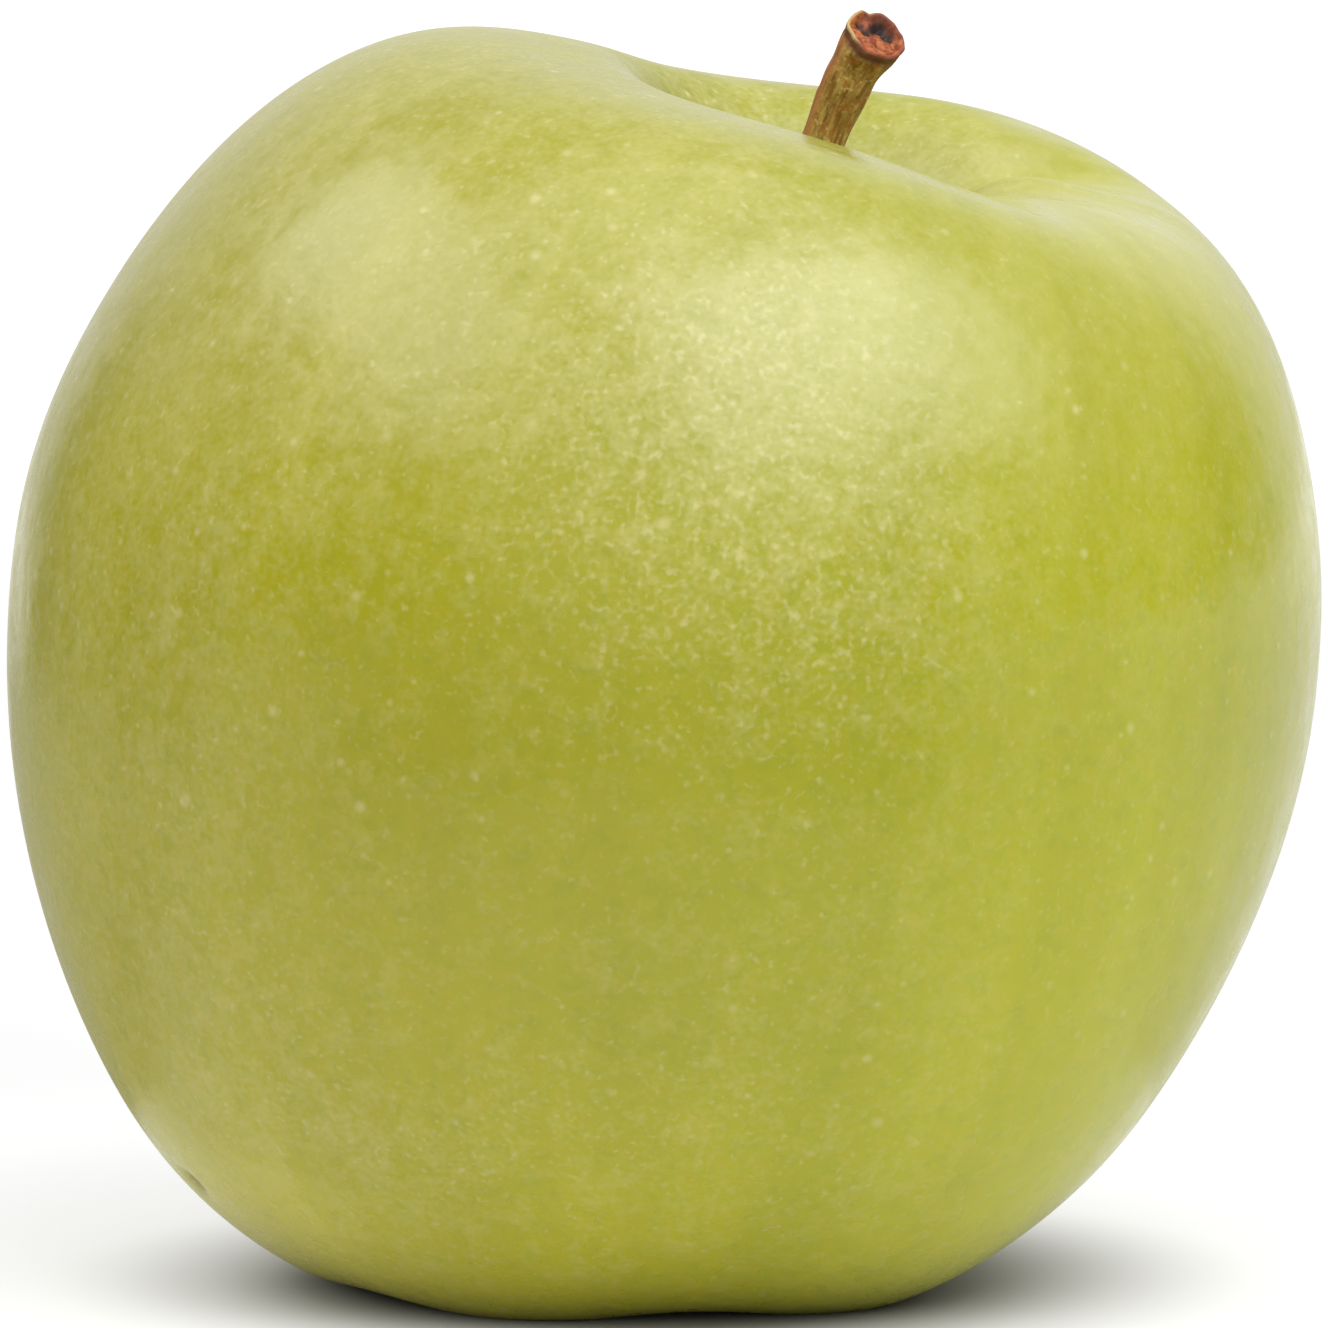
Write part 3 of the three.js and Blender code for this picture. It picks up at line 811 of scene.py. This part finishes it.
class Nodes:
    """A short way to write the node tree of its owner, a material or a world."""

    def __init__(self, owner):
        owner.use_nodes = True
        self.owner = owner
        self.tree = owner.node_tree

    def add(self, kind, **settings):
        node = self.tree.nodes.new(kind)
        for key, value in settings.items():
            setattr(node, key, value)
        return node

    def link(self, source, target):
        self.tree.links.new(source, target)

    def put(self, target, value):
        """Sets a socket to a value, or links it to another socket."""
        if isinstance(value, bpy.types.NodeSocket):
            self.link(value, target)
        else:
            target.default_value = value

    def attribute(self, name, output="Vector"):
        return self.add("ShaderNodeAttribute", attribute_name=name).outputs[output]

    def stretch(self, vector, scale):
        node = self.add("ShaderNodeMapping")
        self.link(vector, node.inputs["Vector"])
        node.inputs["Scale"].default_value = scale
        return node.outputs["Vector"]

    def noise(self, vector, size, detail=2.0, roughness=0.5, distortion=0.0):
        """Noise whose blotches are about size metres across."""
        node = self.add("ShaderNodeTexNoise")
        self.put(node.inputs["Vector"], vector)
        node.inputs["Scale"].default_value = 1 / size
        node.inputs["Detail"].default_value = detail
        node.inputs["Roughness"].default_value = roughness
        node.inputs["Distortion"].default_value = distortion
        return node.outputs["Fac"]

    def cells(self, vector, size):
        """Distance to the nearest of scattered points size metres apart, and its colour."""
        node = self.add("ShaderNodeTexVoronoi")
        self.put(node.inputs["Vector"], vector)
        node.inputs["Scale"].default_value = 1 / size
        return node.outputs["Distance"], node.outputs["Color"]

    def span(self, value, low, high, to_low=0.0, to_high=1.0, smooth=True):
        """Goes from to_low to to_high as the value goes from low to high."""
        node = self.add("ShaderNodeMapRange")
        if smooth:
            node.interpolation_type = "SMOOTHSTEP"
        node.clamp = True
        self.put(node.inputs["Value"], value)
        self.put(node.inputs["From Min"], low)
        self.put(node.inputs["From Max"], high)
        self.put(node.inputs["To Min"], to_low)
        self.put(node.inputs["To Max"], to_high)
        return node.outputs["Result"]

    def calc(self, kind, first, second):
        node = self.add("ShaderNodeMath", operation=kind)
        self.put(node.inputs[0], first)
        self.put(node.inputs[1], second)
        return node.outputs[0]

    def total(self, *terms):
        """The sum of terms, each a socket or a (socket, weight) pair. A weight may be a
        socket too."""
        result = None
        for term in terms:
            if isinstance(term, tuple):
                term = self.calc("MULTIPLY", *term)
            result = term if result is None else self.calc("ADD", result, term)
        return result

    def mix(self, share, first, second, blend="MIX"):
        node = self.add("ShaderNodeMix", data_type="RGBA", blend_type=blend)
        self.put(node.inputs[0], share)
        self.put(node.inputs[6], first)
        self.put(node.inputs[7], second)
        return node.outputs[2]

    def part(self, vector, axis):
        node = self.add("ShaderNodeSeparateXYZ")
        self.put(node.inputs[0], vector)
        return node.outputs[axis]

    def bump(self, height, distance, strength=1.0):
        node = self.add("ShaderNodeBump")
        self.put(node.inputs["Height"], height)
        node.inputs["Distance"].default_value = distance
        node.inputs["Strength"].default_value = strength
        return node.outputs["Normal"]


class Material(Nodes):
    """The node tree of a new material with one Principled shader."""

    def __init__(self, name, specular):
        super().__init__(bpy.data.materials.new(name))
        self.shader = self.tree.nodes["Principled BSDF"]
        self.shader.inputs["Specular IOR Level"].default_value = specular

    def wear(self, **sockets):
        """Sets or links the shader's own sockets, and returns the material."""
        for name, value in sockets.items():
            self.put(self.shader.inputs[name.replace("_", " ").title()], value)
        return self.owner


def srgb(red, green, blue):
    """A linear colour from an sRGB one with parts of 255."""
    def linear(part):
        share = part / 255
        return share / 12.92 if share <= 0.04045 else ((share + 0.055) / 1.055) ** 2.4
    return (linear(red), linear(green), linear(blue), 1.0)


# ---------------------------------------------------------------- materials


# The noises in the skin by the size of their blotches in mm, and each one's weight in the
# texture of the bloom, in the gloss and in the relief.
SKIN_SIZES = {
    "clouds": 2.8,
    "mottles": 1.0,
    "worms": 0.36,
    "streaks": 0.8,
    "spots": 1.1,
    "flecks": 0.45,
}
BLOOM_WEIGHTS = {"clouds": 0.11, "mottles": 0.12, "streaks": 0.035, "worms": 0.10}
GLOSS_WEIGHTS = {"clouds": 0.6, "mottles": 0.4}
GLOSS_OF_TEXTURE = 0.22
RELIEF_WEIGHTS = {"worms": 0.05, "mottles": 0.2, "clouds": 1.0}
RELIEF = 0.09
GREENER = (0.88, 0.93, 1, 1)
TANNER = (1.08, 0.985, 1, 1)


def skin_material():
    n = Material("apple_skin", specular=0.5)
    place = n.add("ShaderNodeTexCoord").outputs["Object"]
    down_grain = n.stretch(n.attribute("grain"), (1, 1, 0.14))
    fields = n.attribute("bloom_and_sheen")
    bloom_and_sheen, texture, patch = (n.part(fields, axis) for axis in range(3))

    def skin_noise(name, vector, detail, roughness):
        return n.noise(vector, SKIN_SIZES[name] * MM, detail, roughness)

    noises = {
        "clouds": skin_noise("clouds", place, 1, 0.7),
        "mottles": skin_noise("mottles", place, 1, 0.5),
        "worms": skin_noise("worms", place, 0, 0.5),
        "streaks": skin_noise("streaks", down_grain, 1, 0.6),
    }

    def weighted(weights):
        return n.total(*((noises[name], weight) for name, weight in weights.items()))

    def centred(name, gain):
        return n.calc("MULTIPLY", n.calc("SUBTRACT", noises[name], 0.5), gain)

    # Small greener and tanner spots in the ground, fewer of them high up.
    ground = n.attribute("ground")
    spots = skin_noise("spots", place, 1, 0.6)
    spotted = n.span(n.part(place, 2), 44 * MM, 58 * MM, 0.6, 0.25)
    for extreme, tint in ((0.75, TANNER), (0.25, GREENER)):
        tinted = n.mix(1.0, ground, tint, "MULTIPLY")
        ground = n.mix(n.span(spots, 0.5, extreme, 0.0, spotted), ground, tinted)

    # The pale bloom lies in fine soft worms, mottles and clouds, with a few streaks.
    pattern = n.total(*(centred(name, weight) for name, weight in BLOOM_WEIGHTS.items()))
    whiten = n.calc("MAXIMUM", n.total(bloom_and_sheen, (pattern, texture)), 0.0)

    # Short soft flecks, many of them in the patch.
    flecks = skin_noise("flecks", place, 1, 0.3)
    flecks = n.span(flecks, n.span(patch, 0.0, 1.0, 0.62, 0.51), 0.80)
    whiten = n.total(whiten, (flecks, n.span(texture, 0.5, 1.5, 0.06, 0.14)))

    # Lenticels: soft pale dots, and smaller ones between them.
    for gap, smallest, largest, faintest, strongest in LENTICELS:
        dots, dot_colour = n.cells(place, gap * MM)
        size = n.span(n.part(dot_colour, 0), 0.0, 1.0, smallest / gap, largest / gap, smooth=False)
        uneven = n.total(dots, centred("worms", 0.25 / gap))
        strength = n.span(n.part(dot_colour, 1), 0.2, 1.0, faintest, strongest)
        whiten = n.total(whiten, (strength, n.span(uneven, size, 0.0)))

    # The bloom dulls the gloss.
    dull = n.attribute("dull", "Fac")
    gloss = n.total(weighted(GLOSS_WEIGHTS), (texture, GLOSS_OF_TEXTURE), dull)
    return n.wear(
        base_color=n.mix(whiten, ground, PALE_BLOOM_AND_SHEEN),
        roughness=n.span(gloss, 0.45, 1.25, 0.17, 0.45, smooth=False),
        normal=n.bump(weighted(RELIEF_WEIGHTS), RELIEF * MM),
    )


# Heights on the stem, by the way up it in mm, at which the painted shade under the lip
# begins and is whole, the lip's lower and upper edge, and the cut's rim in the same measure.
UNDER_LIP_SHADE = (22.9, 23.8)
STEM_LIP = (23.75, 23.95)
CUT_LIP = (24.05, 24.2)


def stem_material():
    n = Material("stem_bark", specular=0.35)
    grain = n.attribute("grain")
    cut = n.attribute("cut", "Fac")
    place = n.add("ShaderNodeTexCoord").outputs["Object"]
    right, back, up = (n.part(grain, axis) for axis in range(3))

    def between(value, ends, to_low=0.0, to_high=1.0):
        """How far a length is from the first to the second of two lengths in mm."""
        return n.span(value, ends[0] * MM, ends[1] * MM, to_low, to_high)

    fibres = n.noise(n.stretch(grain, (1, 1, 0.12)), 0.35 * MM, detail=4, roughness=0.6)
    scales = n.noise(n.stretch(grain, (1, 1, 0.55)), 0.5 * MM, detail=3, roughness=0.55)
    specks = n.noise(n.stretch(grain, (1, 1, 0.7)), 0.32 * MM, detail=2, roughness=0.5)
    bark = n.mix(n.span(fibres, 0.35, 0.68), srgb(112, 78, 18), srgb(166, 136, 62))
    bark = n.mix(n.span(scales, 0.50, 0.30, 0.0, 0.8), bark, srgb(146, 84, 14))
    bark = n.mix(n.span(specks, 0.58, 0.70, 0.0, 0.5), bark, srgb(200, 178, 112))
    bark = n.mix(n.span(specks, 0.40, 0.28, 0.0, 0.6), bark, srgb(74, 44, 12))
    # Redder at the left, where the sun reached it.
    red = n.mix(fibres, srgb(124, 66, 20), srgb(158, 102, 44))
    bark = n.mix(between(right, (-0.6, -1.3), 0.0, 0.8), bark, red)
    # Painted shade, dark red-brown, on the bark just under the cut, with a cream lip at the left.
    under_lip_height = n.total(up, (specks, 1.2 * MM))
    bark = n.mix(between(under_lip_height, UNDER_LIP_SHADE, 0.0, 0.85), bark, srgb(80, 40, 18))
    lip_colour = n.mix(between(right, (-1.2, -0.3)), srgb(158, 134, 84), srgb(112, 56, 30))
    bark = n.mix(between(up, STEM_LIP, 0.0, 0.9), bark, lip_colour)

    # The pith, darker up the back wall of the cut, with painted shade, near black, in its hollows.
    pith_noise = n.noise(place, 0.45 * MM, detail=4, roughness=0.65)
    pith = n.mix(n.span(pith_noise, 0.35, 0.65), srgb(96, 30, 10), srgb(160, 88, 34))
    wall = n.mix(pith_noise, srgb(54, 16, 6), srgb(100, 42, 16))
    pith = n.mix(between(back, (0.5, 1.5), 0.0, 0.75), pith, wall)
    pith = n.mix(between(up, CUT_LIP, 1.0, 0.0), pith, lip_colour)
    # Painted shade: near black where the pith lies deep in a hollow.
    pith = n.mix(n.span(n.attribute("pit_shade", "Fac"), 0.0, 0.6, 0.0, 0.95), pith, srgb(22, 8, 4))

    return n.wear(
        base_color=n.mix(n.span(cut, 0.4, 0.6), bark, pith),
        roughness=n.span(fibres, 0.3, 0.7, 0.5, 0.75),
        normal=n.bump(n.total((fibres, 0.6), scales), 0.09 * MM, 0.9),
    )


def dry_material(name, dark, light, down):
    """Papery brown, with a paler felt of fine hairs that covers part of it."""
    n = Material(name, specular=0.3)
    place = n.add("ShaderNodeTexCoord").outputs["Object"]
    mottle = n.noise(place, 0.9 * MM, detail=4, roughness=0.6)
    veins = n.noise(n.stretch(place, (1, 1, 0.2)), 0.25 * MM, detail=3, roughness=0.6)
    upright = n.stretch(place, (1, 1, 0.35))
    hairs = n.noise(upright, 0.12 * MM, detail=3, roughness=0.7, distortion=0.5)
    colour = n.mix(n.span(mottle, 0.3, 0.7), dark, light)
    colour = n.mix(n.span(veins, 0.5, 0.3, 0.0, 0.5), colour, dark)
    felt = n.calc("MULTIPLY", n.span(mottle, 0.42, 0.66), n.span(hairs, 0.45, 0.62))
    return n.wear(
        base_color=n.mix(n.calc("MULTIPLY", felt, 0.75), colour, down),
        roughness=n.span(felt, 0.0, 1.0, 0.72, 0.95),
        normal=n.bump(n.total((veins, 0.7), (hairs, 0.5)), 0.1 * MM, 0.9),
        sheen_weight=0.15,
    )


# ---------------------------------------------------------------- camera, light and floor

CAMERA_TARGET = Vector((-0.1 * MM, 0, 37.5 * MM))
CAMERA_ELEVATION = math.radians(6)
CAMERA_DISTANCE = 700 * MM
FRAME_WIDTH = 1328 / 16.5 * MM  # what the frame spans at the target
SENSOR_WIDTH = 36.0
LIGHT_DISTANCE = 2

# The surroundings' level by how steeply up one looks: the sine of the angle from and to
# which it changes, and the level there.
WORLD_RISE = (0.15, 0.85, 0.50, 0.90)
WORLD_LEAST = 0.02
# Places in the surroundings that are brighter or darker: (azimuth, elevation, half width
# where it is whole, half width where it is gone, what it adds).
WORLD_LOBES = [
    (5, 32, 8, 52, 0.55),
    (-60, 12, 8, 36, -0.20),
    (180, 8, 34, 50, 0.34),
    (108, 14, 12, 30, -0.25),
    (180, 46, 10, 38, -0.15),
]

FLOOR_RADIUS = 2.6
FLOOR_SIDES = 96
FLOOR_ALBEDO = 0.32
# The floor's own glow, painted light that whitens it away from the apple, by the distance
# from the apple from and to which it rises: (from, to, added). The lack of glow near the
# apple, and its dip, paint the apple's shadow.
PAINTED_FLOOR_GLOW = [(0.018, 0.038, 0.55), (0.05, 0.11, -0.17), (0.30, 0.90, 0.34)]
CARD_COLUMNS = 24
CARD_FOOT = 0.002  # the cards' height above the floor at their inner edge
TONE_SPREAD = 0.02


def make_camera():
    data = bpy.data.cameras.new("camera")
    data.sensor_width = SENSOR_WIDTH
    data.lens = SENSOR_WIDTH * CAMERA_DISTANCE / FRAME_WIDTH
    data.clip_start = 0.05
    data.clip_end = 20
    camera = bpy.data.objects.new("camera", data)
    back = Vector((0, -math.cos(CAMERA_ELEVATION), math.sin(CAMERA_ELEVATION)))
    camera.location = CAMERA_TARGET + back * CAMERA_DISTANCE
    camera.rotation_euler = (-back).to_track_quat("-Z", "Y").to_euler()
    bpy.context.scene.collection.objects.link(camera)
    bpy.context.scene.camera = camera


def toward(azimuth, elevation):
    """A direction seen from the apple. Azimuth 0 is at the camera's side, and + is right."""
    azimuth, elevation = math.radians(azimuth), math.radians(elevation)
    return Vector((
        math.sin(azimuth) * math.cos(elevation),
        -math.cos(azimuth) * math.cos(elevation),
        math.sin(elevation),
    ))


def soft_light(name, azimuth, elevation, width, height, radiance):
    """A soft box aimed at the apple."""
    data = bpy.data.lights.new(name, "AREA")
    data.shape = "RECTANGLE"
    data.size = width
    data.size_y = height
    data.energy = radiance * math.pi * width * height
    light = bpy.data.objects.new(name, data)
    out = toward(azimuth, elevation)
    light.location = CAMERA_TARGET + out * LIGHT_DISTANCE
    light.rotation_euler = out.to_track_quat("Z", "Y").to_euler()
    light.visible_camera = False
    bpy.context.scene.collection.objects.link(light)


def make_world():
    """Pale surroundings, brighter overhead, with brighter and darker places in them."""
    n = Nodes(bpy.data.worlds.new("studio"))
    direction = n.add("ShaderNodeTexCoord").outputs["Generated"]
    strength = n.span(n.part(direction, 2), *WORLD_RISE, smooth=False)
    for azimuth, elevation, inner, outer, amount in WORLD_LOBES:
        dot = n.add("ShaderNodeVectorMath", operation="DOT_PRODUCT")
        n.link(direction, dot.inputs[0])
        dot.inputs[1].default_value = toward(azimuth, elevation)
        gone, whole = (math.cos(math.radians(width)) for width in (outer, inner))
        strength = n.total(strength, (n.span(dot.outputs["Value"], gone, whole), amount))
    background = n.tree.nodes["Background"]
    n.put(background.inputs["Color"], (1, 1, 1, 1))
    n.put(background.inputs["Strength"], n.calc("MAXIMUM", strength, WORLD_LEAST))
    bpy.context.scene.world = n.owner


def grey_tones(n, share, middle, spread):
    dark, light = middle - spread, middle + spread
    return n.mix(share, (dark, dark, dark, 1), (light, light, light, 1))


def make_floor():
    """A pale floor that glows white away from the apple, which is painted light, and glows less
    near it, a painted shadow.
    """
    n = Material("floor", specular=0.1)
    place = n.add("ShaderNodeTexCoord").outputs["Object"]
    mottle = n.noise(place, 0.3, detail=2)
    length = n.add("ShaderNodeVectorMath", operation="LENGTH")
    n.link(place, length.inputs[0])
    distance = length.outputs["Value"]
    # Painted light: the floor glows by its distance from the apple, and less near it, a painted
    # shadow.
    painted_glow = n.total(*(n.span(distance, near, far, 0.0, added) for near, far, added in PAINTED_FLOOR_GLOW))
    n.wear(
        base_color=grey_tones(n, mottle, FLOOR_ALBEDO, TONE_SPREAD / 2),
        roughness=0.9,
        emission_color=(1, 1, 1, 1),
        emission_strength=painted_glow,
    )
    n.owner.cycles.emission_sampling = "NONE"
    angles = [2 * math.pi * k / FLOOR_SIDES for k in range(FLOOR_SIDES)]
    rim = [(FLOOR_RADIUS * math.cos(angle), FLOOR_RADIUS * math.sin(angle), 0) for angle in angles]
    floor = mesh_object("floor", rim, [tuple(range(FLOOR_SIDES))])
    floor.data.materials.append(n.owner)


def make_card(name, tone, azimuths, inner, outer, height):
    """A card that curves round the apple, from a distance near the floor to a distance at a
    height. It only shows in what the skin mirrors."""
    n = Material(name, specular=0.0)
    place = n.add("ShaderNodeTexCoord").outputs["Object"]
    cloth = n.noise(place, 0.02, detail=2)
    n.wear(base_color=grey_tones(n, cloth, tone, TONE_SPREAD), roughness=1.0)
    points = []
    for k in range(CARD_COLUMNS + 1):
        out = toward(azimuths[0] + (azimuths[1] - azimuths[0]) * k / CARD_COLUMNS, 0)
        points.append((out.x * inner, out.y * inner, CARD_FOOT))
        points.append((out.x * outer, out.y * outer, height))
    faces = [(2 * k, 2 * k + 2, 2 * k + 3, 2 * k + 1) for k in range(CARD_COLUMNS)]
    card = mesh_object(name, points, faces)
    card.data.materials.append(n.owner)
    card.visible_camera = False
    card.visible_diffuse = False
    card.visible_shadow = False


def make_studio():
    bpy.context.scene.view_settings.view_transform = "Standard"
    make_world()
    make_floor()
    make_card("left_flag", 0.15, azimuths=(-85, -142), inner=0.38, outer=0.38, height=0.17)
    make_card("left_card", 0.30, azimuths=(-85, -158), inner=0.045, outer=0.38, height=0.004)
    make_card("right_card", 0.50, azimuths=(85, 158), inner=0.045, outer=0.38, height=0.004)
    make_card("front_card", 0.25, azimuths=(-50, 50), inner=0.13, outer=1.6, height=0.004)
    soft_light("right_core", azimuth=38, elevation=52, width=1.5, height=1.1, radiance=2.4)
    soft_light("right_box", azimuth=46, elevation=48, width=2.4, height=1.5, radiance=2.45)
    soft_light("left_box", azimuth=-84, elevation=52, width=2.2, height=0.8, radiance=3.1)
    soft_light("top_box", azimuth=40, elevation=80, width=1.8, height=1.8, radiance=1.4)


# ---------------------------------------------------------------- build

make_camera()
make_studio()
fruit = make_fruit()
fruit.data.materials.append(skin_material())
stem = make_stem()
stem.data.materials.append(stem_material())

sepals = make_sepals()
sepals.data.materials.append(
    dry_material("dried_sepal", srgb(58, 44, 24), srgb(104, 84, 50), srgb(170, 160, 128))
)
stamens = make_stamens()
stamens.data.materials.append(
    dry_material("dried_stamen", srgb(38, 26, 14), srgb(84, 62, 36), srgb(132, 116, 84))
)
